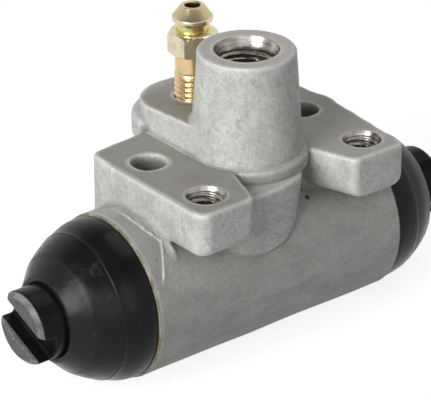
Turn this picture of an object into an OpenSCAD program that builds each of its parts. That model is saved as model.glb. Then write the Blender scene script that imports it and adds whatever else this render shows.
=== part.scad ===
// Drum brake wheel cylinder with its mounting face up: a cast body with two lugs, an inlet boss
// and a bleeder boss, and in its bore two slotted pistons with cups, expanders and a return spring.
// Origin: middle of the two mounting holes on the mounting face. X runs along the barrel.

/* [Mounting lugs] */
// Distance between the two tapped mounting holes
bolt_spacing = 35; // [32:0.5:38]
// Diameter of the tapped mounting holes inside the thread
bolt_hole_d = 5; // [4.2:0.1:5.6]
// Diameter of the countersink at the mouth of a mounting hole
bolt_mouth_d = 6.8; // [6:0.1:7.6]
// Overall width of the two lugs along the barrel
lug_span = 46.8; // [45:0.2:50]
// Thickness of the lugs
lug_thick = 8.6; // [7:0.1:10]
// From the bolt line to the front edge of the lugs
lug_front = 6.2; // [5:0.1:8]
// From the bolt line to the back edge of the lugs
lug_back = 26.2; // [25:0.1:28]
// From the inlet axis out to a lug's inner edge at its front
lug_inner = 12.1; // [11.4:0.1:12.6]
// How far the lugs reach down behind the barrel's top
lug_heel = 5; // [3:0.5:6]
// How far the right lug's outer edge leans out towards the back
lug_flare = 1; // [0.4:0.1:2]
// Radius of the lug's corners
lug_corner_r = 2; // [1:0.1:3]
// Radius of the fillet between lug and barrel
lug_root_r = 2.2; // [1:0.1:3]
// Diameter of the cored pockets in the lugs
pocket_d = 7; // [5:0.1:8]
// Depth of the cored pockets
pocket_deep = 5; // [3:0.1:6]
// From the bolt line back to the cored pockets
pocket_back = 16.3; // [14:0.1:19]

/* [Inlet boss] */
// From the bolt line back to the inlet axis
inlet_back = 10.6; // [10:0.1:12]
// Height of the inlet boss above the mounting face
inlet_height = 18.5; // [15:0.5:22]
// Diameter of the boss at its top
inlet_top_d = 17.3; // [16:0.1:18.5]
// Diameter of the boss at the mounting face
inlet_foot_d = 19.8; // [18.6:0.1:21]
// Diameter of the inlet inside its thread
inlet_hole_d = 9; // [8:0.1:10]
// Diameter of the countersink at the inlet's mouth
inlet_mouth_d = 11.5; // [10.5:0.1:13]
// Depth of the inlet's thread
inlet_deep = 13; // [10:0.5:16]
// Diameter of the register ring under the boss
ring_d = 21.6; // [21.2:0.1:23]
// Height of the register ring's wall
ring_height = 2.6; // [1.5:0.1:4]
// Diameter of the drilled fluid passages
passage_d = 2.6; // [1.5:0.1:3.5]

/* [Bleeder] */
// From the inlet axis back to the bleeder axis
bleeder_back = 15.1; // [13.5:0.1:17]
// Height of the bleeder boss above the mounting face
bleeder_boss_height = 5; // [3.5:0.1:7]
// Height of the unmachined shoulder behind the lugs
shoulder_height = 2; // [0.5:0.1:3]
// Diameter of the bleeder screw's thread
bleeder_d = 7; // [6:0.5:8]
// Depth of the bleeder hole below the spot face
bleeder_deep = 11; // [9:0.5:12]
// Width of the bleeder's hexagon across its flats
bleeder_hex = 8; // [7:0.5:10]
// Diameter of the bleeder's nipple
nipple_d = 7.3; // [6.4:0.1:8]
// Diameter of the bore through the nipple
nipple_bore_d = 2.8; // [1.5:0.1:3.2]

/* [Barrel] */
// Diameter of the barrel
barrel_d = 29.8; // [28:0.1:32]
// Length of the barrel between its end faces
barrel_len = 54.5; // [52:0.1:60]
// From the inlet axis to the barrel's middle along X
barrel_shift = -2.75; // [-4:0.05:-1]
// From the inlet axis back to the barrel axis
barrel_back = 1; // [0:0.1:2]
// From the mounting face down to the barrel axis
barrel_drop = 20.1; // [19:0.1:22]
// Diameter of the bore
bore_d = 19.05; // [17.4:0.01:20.6]
// Diameter of the turned spigot that carries a boot
spigot_d = 25; // [24:0.1:26]
// Length of the spigot beyond the barrel's end face
spigot_len = 5; // [4:0.1:6]
// Depth of the groove that holds the boot's bead
bead_groove = 0.8; // [0.4:0.1:1]
// Diameter of the neck below the inlet boss
neck_d = 24; // [20:0.2:25]

/* [Pistons and boots] */
// Radial clearance between bore and piston
piston_clearance = 0.03; // [0.01:0.01:0.06]
// Length of the piston's head
piston_len = 13.5; // [11:0.5:15]
// Diameter of the piston's nose
nose_d = 13.2; // [11:0.1:14]
// How far the nose reaches beyond the barrel's end face
nose_reach = 18.7; // [17.5:0.1:22]
// Width of the slot for the brake shoe
slot_w = 5.5; // [4.2:0.1:7]
// Depth of the slot
slot_deep = 3.3; // [2.5:0.1:5]
// Angle of the slot to the mounting face
slot_angle = 22.5; // [0:0.5:45]
// Diameter of the boot at its base
boot_d = 28.3; // [27.5:0.1:29.5]
// How far the boot reaches beyond the barrel's end face
boot_reach = 13.2; // [12.5:0.1:14]
// Thickness of the boot's wall
boot_wall = 1.6; // [1:0.1:2]

/* [Seals and spring] */
// Length of a piston cup
cup_len = 6; // [4.5:0.1:8]
// Thickness of a cup's base
cup_base = 2.4; // [1.5:0.1:3]
// Thickness of a cup's lip
cup_lip = 1.4; // [1:0.1:2]
// Mean diameter of the spring's coil
coil_d = 10; // [8:0.1:11]
// Diameter of the spring's wire
wire_d = 1.1; // [0.8:0.05:1.4]
// Number of turns of the spring
coil_turns = 8; // [5:1:10]

/* [Hidden] */
$fn = 96;

left = -1;
right = 1;
eps = 0.01;
fit_gap = 0.06;
boot_clearance = 0.3;
cast_edge = 0.5;

barrel_y = inlet_back + barrel_back;
bleeder_y = inlet_back + bleeder_back;
neck_x = barrel_shift - 0.85;
neck_y = inlet_back - 1;
lug_inner_lean = 6.5;
pocket_spacing = bolt_spacing - 0.6;
ring_step = 0.6;
boss_half = inlet_foot_d / 2 - 0.8;
pedestal_bottom = lug_thick + 4;

spot_face_d = 11;
spot_face_z = bleeder_boss_height - 0.6;
bleeder_seat_z = spot_face_z - bleeder_deep;
bleeder_r = bleeder_d / 2 - fit_gap;
hex_angle = 33;
shank_z = spot_face_z + 5.6;
hex_z = shank_z + 3;
hex_height = 4.1;
nipple_z = hex_z + hex_height;
nipple_height = 4.8;

bore_r = bore_d / 2;
piston_r = bore_r - piston_clearance;
nose_r = nose_d / 2;
nose_chamfer = 0.9;
head_top = spigot_len - 0.5;
head_bottom = head_top - piston_len;
lip_groove = 0.6;
lip_w = 1.8;
lip_z = boot_reach - lip_w;

boot_r = boot_d / 2;
// A narrow boot stays straight for longer, so that its wall clears the end of the spigot
boot_straight = 2.2 + max(0, spigot_d + 2 * boot_wall - boot_d);
lip_r = nose_r + 1.1;
boot_arc_r = (lip_r - boot_r + boot_reach - boot_straight) / (sqrt(2) - 1);
bead_r = spigot_d / 2 - bead_groove;
bead_z = 0.9;
bead_w = 1.8;

cup_top = head_bottom;
cup_bottom = cup_top - cup_len;
expander_r = bore_r - 3;
expander_thick = 0.8;
expander_top = cup_top - cup_base;
guide_r = coil_d / 2 - wire_d / 2 - 0.3;
guide_len = 4;
coil_end = expander_top - expander_thick;
coil_len = barrel_len + 2 * coil_end;

// Outlines of the lugs, seen from above: x, y and corner radius
left_lug_outline = [
    [-lug_span / 2, -lug_front, lug_corner_r + 1],
    [-lug_inner, -lug_front, lug_corner_r],
    [lug_inner_lean - lug_inner, inlet_back, 0],
    [0, lug_back, 0],
    [-lug_span / 2, lug_back, lug_corner_r]
];
right_lug_outline = [
    [lug_inner, -lug_front, lug_corner_r],
    [lug_span / 2 - lug_flare, -lug_front, lug_corner_r / 2],
    [lug_span / 2 + lug_flare, pocket_back, lug_corner_r / 2],
    [lug_span / 2, lug_back, lug_corner_r],
    [0, lug_back, 0],
    [lug_inner - lug_inner_lean, inlet_back, 0]
];

function unit(v) = v / norm(v);
function flat(p) = [p.x, p.y];
function arc(centre, r, from, to, step = 6) =
    [for (i = [0:round(abs(to - from) / step)])
        let (angle = from + (to - from) * i / round(abs(to - from) / step))
        centre + r * [cos(angle), sin(angle)]];

// Points that round corner b between a and c, where b is x, y and radius
function rounded_corner(a, b, c) =
    let (to_a = unit(flat(a) - flat(b)),
         to_c = unit(flat(c) - flat(b)),
         half = acos(to_a * to_c) / 2,
         middle = unit(to_a + to_c),
         centre = flat(b) + middle * b[2] / sin(half),
         facing = atan2(-middle.y, -middle.x),
         turn = (to_a.x * to_c.y - to_a.y * to_c.x > 0 ? -1 : 1) * (90 - half))
    b[2] == 0 ? [flat(b)] : arc(centre, b[2], facing - turn, facing + turn, 15);

module rounded_polygon(points) {
    last = len(points) - 1;
    polygon([for (i = [0:last])
        each rounded_corner(points[i == 0 ? last : i - 1], points[i], points[i == last ? 0 : i + 1])]);
}

// Places its children on the barrel axis, with Z pointing out of the given end face
module at_end(side) {
    translate([barrel_shift + side * barrel_len / 2, barrel_y, -barrel_drop])
        rotate([0, side * 90, 0])
            children();
}

// Outline with round ends about the inlet and bleeder axes
module boss_outline(r) {
    polygon(concat(arc([0, inlet_back], r, 180, 360), arc([0, bleeder_y], r, 0, 180)));
}

// Turned section of one half of the barrel, from its middle out to the end of the spigot
module barrel_section() {
    half = barrel_len / 2;
    polygon([
        [0, 0],
        [barrel_d / 2, 0],
        [barrel_d / 2, half - cast_edge],
        [barrel_d / 2 - cast_edge, half],
        [bead_r, half],
        [bead_r, half + bead_z + bead_w],
        [spigot_d / 2, half + bead_z + bead_w],
        [spigot_d / 2, half + spigot_len - cast_edge],
        [spigot_d / 2 - cast_edge, half + spigot_len],
        [0, half + spigot_len]
    ]);
}

module barrel() {
    for (side = [left, right])
        at_end(side)
            translate([0, 0, -barrel_len / 2])
                rotate_extrude()
                    barrel_section();
}

module lugs() {
    intersection() {
        translate([0, 0, -lug_thick - lug_heel])
            linear_extrude(lug_thick + lug_heel) {
                rounded_polygon(left_lug_outline);
                rounded_polygon(right_lug_outline);
            }
        translate([-lug_span, 0, 0])
            rotate([90, 0, 90])
                linear_extrude(2 * lug_span)
                    rounded_polygon([
                        [-lug_front, -lug_thick, lug_corner_r],
                        [barrel_y, -lug_thick, 0],
                        [lug_back, -lug_thick - lug_heel, lug_corner_r / 2],
                        [lug_back, 0, 0],
                        [-lug_front, 0, 0]
                    ]);
    }
}

// Hollow fillet where the left lug's outer face stands on the barrel
module lug_root() {
    sunk = 0.2;
    foot = barrel_d / 2 - sunk;
    hollow = arc([foot + lug_root_r, lug_root_r], lug_root_r, 180, 270, 15);
    intersection() {
        translate([sunk - lug_span / 2, barrel_y, -barrel_drop])
            rotate([0, -90, 0])
                rotate_extrude()
                    polygon(concat([[foot - 1, 0], [foot - 1, lug_root_r]], hollow));
        translate([-lug_span / 2 - lug_root_r, lug_corner_r, sunk - lug_thick])
            cube([lug_root_r + 1, lug_back - 2 * lug_corner_r, lug_thick]);
    }
}

module pedestal() {
    translate([0, 0, -ring_height])
        linear_extrude(ring_height)
            boss_outline(ring_d / 2);
    translate([0, 0, -pedestal_bottom])
        linear_extrude(pedestal_bottom - eps)
            boss_outline(ring_d / 2 - ring_step);
    translate([neck_x, neck_y, -barrel_drop])
        cylinder(d = neck_d, h = barrel_drop - ring_height - ring_step);
    intersection() {
        translate([0, bleeder_y, -ring_height - ring_step])
            cylinder(d = ring_d + ring_step, h = ring_height + ring_step + shoulder_height);
        translate([-ring_d, lug_back - lug_corner_r, -lug_thick])
            cube([2 * ring_d, ring_d, 2 * lug_thick]);
    }
}

module bosses() {
    translate([0, inlet_back, -eps])
        rotate_extrude()
            polygon([
                [0, 0],
                [inlet_foot_d / 2, 0],
                [inlet_top_d / 2, inlet_height - cast_edge],
                [inlet_top_d / 2 - cast_edge, inlet_height + eps],
                [0, inlet_height + eps]
            ]);
    translate([0, 0, -eps])
        linear_extrude(bleeder_boss_height + eps)
            polygon(concat(
                arc([0, bleeder_y], boss_half, 0, 180),
                [[-boss_half, inlet_back], [boss_half, inlet_back]]
            ));
}

// Round hole from z down to z - deep, with a conical mouth
module drilled(z, d, deep, mouth_d = 0) {
    translate([0, 0, z - deep])
        cylinder(d = d, h = deep + eps);
    if (mouth_d > d)
        translate([0, 0, z - (mouth_d - d) / 2])
            cylinder(d1 = d, d2 = mouth_d + 2 * eps, h = (mouth_d - d) / 2 + eps);
}

module holes() {
    for (side = [left, right]) {
        translate([side * bolt_spacing / 2, 0, 0])
            drilled(0, bolt_hole_d, lug_thick + 0.6, bolt_mouth_d);
        translate([side * pocket_spacing / 2, pocket_back, 0])
            drilled(0, pocket_d, pocket_deep);
    }
    translate([0, inlet_back, 0]) {
        drilled(inlet_height, inlet_hole_d, inlet_deep, inlet_mouth_d);
        drilled(inlet_height - inlet_deep, passage_d, inlet_height - inlet_deep + barrel_drop);
    }
    translate([0, bleeder_y, 0]) {
        drilled(bleeder_boss_height + eps, spot_face_d, bleeder_boss_height + eps - spot_face_z);
        drilled(spot_face_z, bleeder_d, bleeder_deep);
    }
    bleed_passage();
    for (side = [left, right])
        at_end(side) {
            translate([0, 0, -barrel_len / 2 - eps])
                cylinder(d = bore_d, h = barrel_len / 2 + spigot_len + 1);
            translate([0, 0, spigot_len - 1])
                cylinder(d1 = bore_d, d2 = bore_d + 2 + 2 * eps, h = 1 + eps);
        }
}

// Oblique drilling from the foot of the bleeder hole into the bore
module bleed_passage() {
    start = [0, bleeder_y, bleeder_seat_z + passage_d / 4];
    run = [0, barrel_y, -barrel_drop] - start;
    translate(start)
        rotate([90 + atan2(run.z, -run.y), 0, 0])
            cylinder(d = passage_d, h = norm(run) - bore_d / 4);
}

// Room around the boots, where a lug reaches past the end of the barrel
module boot_room() {
    for (side = [left, right])
        at_end(side)
            cylinder(r = boot_r + boot_clearance, h = boot_reach);
}

module cylinder_body() {
    color([0.72, 0.72, 0.70])
        difference() {
            union() {
                barrel();
                difference() {
                    union() {
                        lugs();
                        lug_root();
                    }
                    boot_room();
                }
                pedestal();
                bosses();
            }
            holes();
        }
}

module bleeder_screw() {
    seat_r = passage_d / 2 + 0.2;
    head_z = nipple_z + 1;
    color([0.80, 0.67, 0.35])
        translate([0, bleeder_y, 0])
            difference() {
                union() {
                    rotate_extrude()
                        polygon([
                            [0, bleeder_seat_z + fit_gap],
                            [seat_r, bleeder_seat_z + fit_gap],
                            [bleeder_r, bleeder_seat_z + fit_gap + bleeder_r - seat_r],
                            [bleeder_r, shank_z],
                            [bleeder_r - 0.25, shank_z],
                            [bleeder_r - 0.25, hex_z],
                            [nipple_d * 0.4, hex_z],
                            [nipple_d * 0.4, head_z],
                            [nipple_d / 2, head_z + 0.7],
                            [nipple_d / 2, head_z + 1.8],
                            [nipple_d / 2 - 1.5, nipple_z + nipple_height],
                            [0, nipple_z + nipple_height]
                        ]);
                    intersection() {
                        translate([0, 0, hex_z])
                            rotate([0, 0, hex_angle])
                                cylinder(d = bleeder_hex / cos(30), h = hex_height, $fn = 6);
                        translate([0, 0, hex_z])
                            rotate_extrude()
                                hex_chamfer_section();
                    }
                }
                translate([0, 0, hex_z])
                    cylinder(d = nipple_bore_d, h = hex_height + nipple_height + eps);
            }
}

module hex_chamfer_section() {
    inner = bleeder_hex / 2;
    outer = bleeder_hex / cos(30) / 2;
    rise = (outer - inner) * tan(30);
    polygon([[0, 0], [inner, 0], [outer, rise], [outer, hex_height - rise],
             [inner, hex_height], [0, hex_height]]);
}

// Half section of the boot's outline, drawn inset from its outer face: skirt, dome and cone
module boot_section(inset) {
    arc_r = boot_arc_r - inset;
    centre = [boot_r - boot_arc_r, boot_straight];
    reach = boot_reach - inset * sqrt(2);
    dome = [for (angle = [0:5:45]) centre + arc_r * [cos(angle), sin(angle)]];
    polygon(concat([[0, 0], [boot_r - inset, 0]], dome, [[lip_r, reach], [0, reach]]));
}

module dust_boot(side) {
    seat_r = spigot_d / 2 + fit_gap;
    color([0.07, 0.07, 0.07])
        at_end(side)
            rotate_extrude() {
                difference() {
                    boot_section(0);
                    intersection() {
                        boot_section(boot_wall);
                        translate([0, bead_z + bead_w])
                            square([boot_r, lip_z - bead_z - bead_w]);
                    }
                    square([seat_r, spigot_len + fit_gap]);
                    square([nose_r + fit_gap, lip_z]);
                    square([nose_r - lip_groove + fit_gap, boot_reach + eps]);
                }
                translate([bead_r + fit_gap, bead_z + fit_gap])
                    square([seat_r - bead_r, bead_w - 2 * fit_gap]);
            }
}

module piston(side) {
    chamfer = 0.4;
    color([0.10, 0.10, 0.11])
        at_end(side)
            difference() {
                rotate_extrude()
                    polygon([
                        [0, head_bottom],
                        [piston_r - chamfer, head_bottom],
                        [piston_r, head_bottom + chamfer],
                        [piston_r, head_top],
                        [nose_r, head_top + piston_r - nose_r],
                        [nose_r, lip_z - fit_gap],
                        [nose_r - lip_groove, lip_z - fit_gap],
                        [nose_r - lip_groove, boot_reach + fit_gap],
                        [nose_r, boot_reach + fit_gap],
                        [nose_r, nose_reach - nose_chamfer],
                        [nose_r - nose_chamfer, nose_reach],
                        [0, nose_reach]
                    ]);
                rotate([0, 0, side * slot_angle])
                    translate([-slot_w / 2, -nose_d, nose_reach - slot_deep])
                        cube([slot_w, 2 * nose_d, slot_deep + 1]);
            }
}

module piston_cup(side) {
    lip_taper = 0.5;
    color([0.12, 0.12, 0.12])
        at_end(side)
            rotate_extrude()
                polygon([
                    [0, cup_top],
                    [piston_r - lip_taper, cup_top],
                    [piston_r, cup_bottom + cup_base],
                    [piston_r, cup_bottom],
                    [piston_r - cup_lip / 2, cup_bottom],
                    [piston_r - cup_lip, cup_top - cup_base],
                    [0, cup_top - cup_base]
                ]);
}

module cup_expander(side) {
    color([0.60, 0.61, 0.62])
        at_end(side)
            rotate_extrude() {
                translate([guide_r - expander_thick, expander_top - expander_thick])
                    square([expander_r - guide_r + expander_thick, expander_thick]);
                translate([guide_r - expander_thick, expander_top - guide_len])
                    square([expander_thick, guide_len]);
            }
}

// Place along the axis of the wire's centre after the given number of turns: closed end turns
function coil_place(turn, length) =
    turn < 1 ? wire_d * turn
    : turn > coil_turns - 1 ? length - wire_d * (coil_turns - turn)
    : wire_d + (length - 2 * wire_d) * (turn - 1) / (coil_turns - 2);

module return_spring() {
    sides = 8;
    steps = 14;
    rings = coil_turns * steps;
    length = coil_len - wire_d - 2 * fit_gap;
    points = [for (i = [0:rings], k = [0:sides - 1])
        let (turn = i / steps,
             radius = coil_d / 2 + wire_d / 2 * cos(360 * k / sides),
             x = coil_place(turn, length) - length / 2 + wire_d / 2 * sin(360 * k / sides))
        [x, radius * cos(360 * turn), radius * sin(360 * turn)]];
    walls = [for (i = [0:rings - 1], k = [0:sides - 1])
        let (next = (k + 1) % sides)
        [i * sides + k, i * sides + next, (i + 1) * sides + next, (i + 1) * sides + k]];
    caps = [[for (k = [sides - 1:-1:0]) k], [for (k = [0:sides - 1]) rings * sides + k]];
    color([0.55, 0.56, 0.58])
        translate([barrel_shift, barrel_y, -barrel_drop])
            polyhedron(points, concat(walls, caps), convexity = 10);
}

cylinder_body();
bleeder_screw();
dust_boot(left);  // left_dust_boot
dust_boot(right);  // right_dust_boot
piston(left);  // left_piston
piston(right);  // right_piston
piston_cup(left);  // left_piston_cup
piston_cup(right);  // right_piston_cup
cup_expander(left);  // left_cup_expander
cup_expander(right);  // right_cup_expander
return_spring();
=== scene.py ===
import math

import bmesh
import bpy
import numpy as np
from mathutils import Matrix, Vector


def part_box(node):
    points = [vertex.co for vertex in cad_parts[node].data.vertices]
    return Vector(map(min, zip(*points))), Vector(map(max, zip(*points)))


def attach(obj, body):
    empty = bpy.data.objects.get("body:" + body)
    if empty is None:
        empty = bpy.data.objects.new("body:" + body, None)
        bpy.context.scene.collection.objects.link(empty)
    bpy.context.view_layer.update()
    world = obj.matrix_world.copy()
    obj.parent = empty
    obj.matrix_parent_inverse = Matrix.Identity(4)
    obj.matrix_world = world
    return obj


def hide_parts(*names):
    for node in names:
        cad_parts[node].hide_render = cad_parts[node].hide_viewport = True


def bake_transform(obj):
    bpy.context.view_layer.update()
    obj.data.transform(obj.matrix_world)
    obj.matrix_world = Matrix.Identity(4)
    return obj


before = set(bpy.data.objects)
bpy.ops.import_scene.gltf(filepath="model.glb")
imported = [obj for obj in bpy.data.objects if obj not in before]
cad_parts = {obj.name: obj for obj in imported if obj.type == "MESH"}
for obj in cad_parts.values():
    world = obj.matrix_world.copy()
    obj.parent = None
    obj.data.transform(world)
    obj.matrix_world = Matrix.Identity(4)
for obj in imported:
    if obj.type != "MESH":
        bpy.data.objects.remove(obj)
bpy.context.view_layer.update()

# Sizes are in millimetres here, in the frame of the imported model, and become metres in the meshes
MM = 0.001
LEFT, RIGHT = -1, 1

BARREL_Y = 11.6
BARREL_Z = -20.1
BARREL_MID = -2.75
BARREL_HALF = 27.25
BARREL_R = 14.9
BORE_R = 9.525
SPIGOT_R = 12.5
SPIGOT_LEN = 5.0
GROOVE_R = 11.7
GROOVE_LEN = 2.7

LUG_FRONT = -6.2
LUG_LEFT = -23.4
LUG_RIGHT = 24.4
LUG_BACK = 26.2
LUG_BOTTOM = -8.6
HEEL_SLOPE = 0.35
BOLT_X = 17.5
BOLT_R = 3.05
BOLT_FLOOR = -9.3
POCKET_X = 17.2
POCKET_Y = 16.3
POCKET_R = 3.3
POCKET_FLOOR = -6.5

INLET_Y = 10.6
INLET_TOP = 18.5
INLET_FOOT_R = 9.9
INLET_TAPER = 1.25
PORT_R = 5.05
PORT_MOUTH_R = 5.75
PORT_MOUTH_Z = 16.4
PORT_FLOOR = 5.5
PASSAGE_R = 1.3
RING_R = 10.8
RING_BOTTOM = -2.6
NECK_TOP = -2.3
BLEEDER_Y = 25.7
BLEEDER_TOP = 5.0
SPOT_FACE_R = 5.2
SPOT_FACE_Z = 4.55
BLEEDER_R = 3.5
BLEEDER_FLOOR = -6.6

HEAD_R = 9.495
HEAD_LEN = 13.5
HEAD_MID = -2.25
NOSE_R = 6.6
NOSE_REACH = 18.7
SLOT_HALF = 2.75
SLOT_FLOOR = 15.4
SLOT_SLANT = math.radians(22.5)

# Parting line beside the left lug: angles round the barrel in degrees, and the line's x at each
SEAM_TURNS = (28.0, 56.0, 68.0, 82.0)
SEAM_XS = (-27.9, -24.7, -26.0, -26.5)


# Distance fields: negative inside, in millimetres


def round_max(a, b, r):
    """Both a and b, with the edge between them rounded to radius r."""
    return np.minimum(np.maximum(a, b), -r) + np.hypot(np.maximum(a + r, 0), np.maximum(b + r, 0))


def round_min(a, b, r):
    """Either a or b, with the corner between them filled to radius r."""
    return np.maximum(np.minimum(a, b), r) - np.hypot(np.maximum(r - a, 0), np.maximum(r - b, 0))


def half_plane(x, y, start, end):
    """Distance to the right of the line from start to end, seen from above."""
    dx, dy = end[0] - start[0], end[1] - start[1]
    length = math.hypot(dx, dy)
    return ((x - start[0]) * dy - (y - start[1]) * dx) / length


def obround(x, y, near, far, r):
    """Outline with round ends at two places on the Y axis."""
    return np.hypot(x, y - np.clip(y, near, far)) - r


def fade(value, start, end):
    """0 at start, 1 at end, and straight between them."""
    return np.clip((value - start) / (end - start), 0, 1)


def unevenness(x, y, z, size, amount):
    """Slow waves of a surface that was cast, not cut."""
    a = np.sin(x / size + 1.3 * np.sin(y / size * 0.7)) * np.cos(z / size * 0.9 + 0.4)
    b = np.sin((y - z) / size * 1.7 + 2.0) * np.cos(x / size * 1.3 + 0.8)
    return amount * (a + 0.6 * b)


def from_axis(y, z):
    """Distance from the barrel's axis."""
    return np.hypot(y - BARREL_Y, z - BARREL_Z)


def past_end(x):
    """Distance beyond the barrel's end faces."""
    return np.abs(x - BARREL_MID) - BARREL_HALF


def turn_of(y, z):
    """Angle round the barrel in degrees, from its front up over its top."""
    return np.degrees(np.arctan2(z - BARREL_Z, BARREL_Y - y))


def behind_left_lug(x, y):
    """Distance behind the left lug's back edge, which runs a little askew."""
    return y - 26.7 - 0.1 * (x + 11.6)


def lug_field(x, y, z):
    """Both lugs, which reach down behind the barrel, with the parting line's ridge on the left one."""
    underside = LUG_BOTTOM - z - np.maximum(y - BARREL_Y, 0) * HEEL_SLOPE
    front = LUG_FRONT - y

    # Left lug, whose outer face leans both ways from a ridge where the mould parted
    parting = y - 18.75 - 0.16 * z
    ridge = np.maximum(0.24 - 0.4 * np.abs(parting), 0)
    outer = LUG_LEFT - x + 0.02 * z + 0.05 * np.maximum(parting, 0) - ridge
    inner = round_max(half_plane(x, y, (-11.9, LUG_FRONT), (-5.7, INLET_Y)), underside, 4.2)
    left = round_max(front, outer, 2.6)
    left = round_max(left, behind_left_lug(x, y), 1.9)
    left = round_max(left, inner, 1.0)

    # Right lug, whose outer face leans in towards the front, with a lump of metal near the top of that face
    outer = round_max(half_plane(x, y, (22.1, LUG_FRONT), (24.6, 16.5)), underside, 3.0)
    inner = round_max(half_plane(x, y, (5.2, INLET_Y), (11.0, LUG_FRONT)), underside, 3.2)
    right = round_max(front + 0.2, outer, 1.0)
    right = round_max(right, half_plane(x, y, (24.6, 17.0), (23.6, LUG_BACK)), 1.2)
    right = round_max(right, x - LUG_RIGHT, 0.5)
    right = round_max(right, inner, 1.0)
    right = round_max(right, y - LUG_BACK, 1.6)

    lugs = round_max(np.minimum(left, right), underside, 2.0)
    lump = round_max(np.hypot(x - 23.5, (y - 17.1) * 0.75) - 1.75, -(z + 3.5), 1.0)
    return round_min(lugs, lump, 0.6)


def barrel_field(x, y, z):
    """Cast barrel, a little raised on the lug's side of the parting line, with a thin flash on the line."""
    turn = turn_of(y, z)
    seam = np.interp(turn, SEAM_TURNS, SEAM_XS)
    shown = fade(turn, 26, 34)
    raised = fade(x, seam, seam + 0.3) * shown * fade(turn, 110, 98) * fade(x, -18, -23)
    flash = np.maximum(0, 1 - np.abs(x - seam - 0.15) / 0.35) * shown * fade(turn, 96, 84)
    barrel = from_axis(y, z) - BARREL_R + unevenness(x, y, z, 4.1, 0.05)
    barrel = barrel - 0.1 * raised - 0.16 * flash
    return round_max(barrel, past_end(x), 0.35)


def neck_field(x, y, z):
    """Tongue below the ring, with a round foot on the front of the barrel."""
    foot = np.hypot(x + 6.0, np.minimum(z - NECK_TOP, 0)) - 12.0
    front = np.hypot(x + 5.68, y - 22.3) - 24.78
    neck = round_max(front, foot, np.interp(z, (-12.5, -7.0), (0.9, 4.6)))
    return round_max(np.maximum(neck, y - 20.0), z - NECK_TOP, 0.5)


def boss_field(x, y, z):
    """Tapered inlet boss, the low boss round the bleeder and the shoulder behind it."""
    inlet = (np.hypot(x, y - INLET_Y) - INLET_FOOT_R + z * (INLET_TAPER / INLET_TOP)) * 0.998
    outline = obround(x, y, INLET_Y + 1.5, BLEEDER_Y, 9.75 - 0.05 * z)
    slab_top = z - BLEEDER_TOP - 0.06 * (19 - y)
    slab = round_max(outline, round_min(inlet, slab_top, 1.0), 0.45)
    shoulder = np.maximum(np.hypot(x, y - BLEEDER_Y) - 11.1, -behind_left_lug(x, y) - 0.2)
    shoulder = round_max(shoulder, z - 2.0, 1.0)
    bosses = round_min(np.minimum(inlet, slab), np.maximum(shoulder, -(z + 3)), 0.5)
    bosses = np.maximum(bosses, -(z + 2))
    return round_max(bosses, z - INLET_TOP, 0.45)


def casting_field(x, y, z):
    """Barrel, lugs, neck, ring and bosses, with the fillets between them."""
    # The fillet below the left lug grows towards the back, and a bead runs along its outer side
    root = np.where(x < -15, np.clip(0.5 + (y - 4.0) * 0.11, 0.5, 1.9), 1.0)
    cast = round_min(barrel_field(x, y, z), lug_field(x, y, z), root)
    turn = turn_of(y, z)
    bead = np.maximum(0.5 - 0.55 * np.hypot(x + 23.7, from_axis(y, z) - 15.1), 0)
    cast = cast - bead * fade(turn, 40, 48) * fade(turn, 100, 90)

    # The mounting face is cut at z = 0, and the bosses stand on it
    pedestal = round_max(obround(x, y, INLET_Y, BLEEDER_Y, 9.2), -(z + 12.6), 1.5)
    cast = round_min(cast, pedestal, 1.2)
    cast = round_min(cast, neck_field(x, y, z), 0.3)
    ring = round_max(obround(x, y, INLET_Y, BLEEDER_Y, RING_R), RING_BOTTOM - z, 0.5)
    cast = round_min(cast, ring, 0.35)
    cast = round_max(cast, z, 0.65)
    cast = round_min(cast, boss_field(x, y, z), 0.35)
    return cast + unevenness(x, y, z, 2.3, 0.015)


def cut_hole(solid, away, r, floor, z):
    """A solid with a hole from above down to a floor, away being the distance from the hole's axis."""
    return np.maximum(solid, -np.maximum(away - r, floor - z))


def body_field(x, y, z):
    """The casting with its turned ends, and the holes that are cut into it."""
    axis, past = from_axis(y, z), past_end(x)
    groove = np.maximum(GROOVE_R - axis, np.abs(past - GROOVE_LEN / 2) - GROOVE_LEN / 2)
    spigot = np.maximum(np.maximum(axis - SPIGOT_R, past - SPIGOT_LEN), -groove)
    solid = np.minimum(np.maximum(casting_field(x, y, z), past), spigot)
    solid = np.maximum(solid, BORE_R - axis)

    inlet = np.hypot(x, y - INLET_Y)
    mouth = np.interp(z, (PORT_MOUTH_Z, INLET_TOP), (PORT_R, PORT_MOUTH_R))
    solid = cut_hole(solid, inlet, mouth, PORT_FLOOR, z)
    solid = cut_hole(solid, inlet, PASSAGE_R, BARREL_Z, z)
    bleeder = np.hypot(x, y - BLEEDER_Y)
    solid = cut_hole(solid, bleeder, SPOT_FACE_R, SPOT_FACE_Z, z)
    solid = cut_hole(solid, bleeder, BLEEDER_R, BLEEDER_FLOOR, z)
    for side in (LEFT, RIGHT):
        mouth = np.maximum(BOLT_R, BOLT_R + np.minimum(z + 0.75, 1.0) * 0.6)
        solid = cut_hole(solid, np.hypot(x - side * BOLT_X, y), mouth, BOLT_FLOOR, z)
        pocket = np.hypot(x - side * POCKET_X, y - POCKET_Y) - POCKET_R - 0.06 * z
        solid = round_max(solid, -round_max(pocket, POCKET_FLOOR - z, 0.8), 0.25)
    return solid


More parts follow.
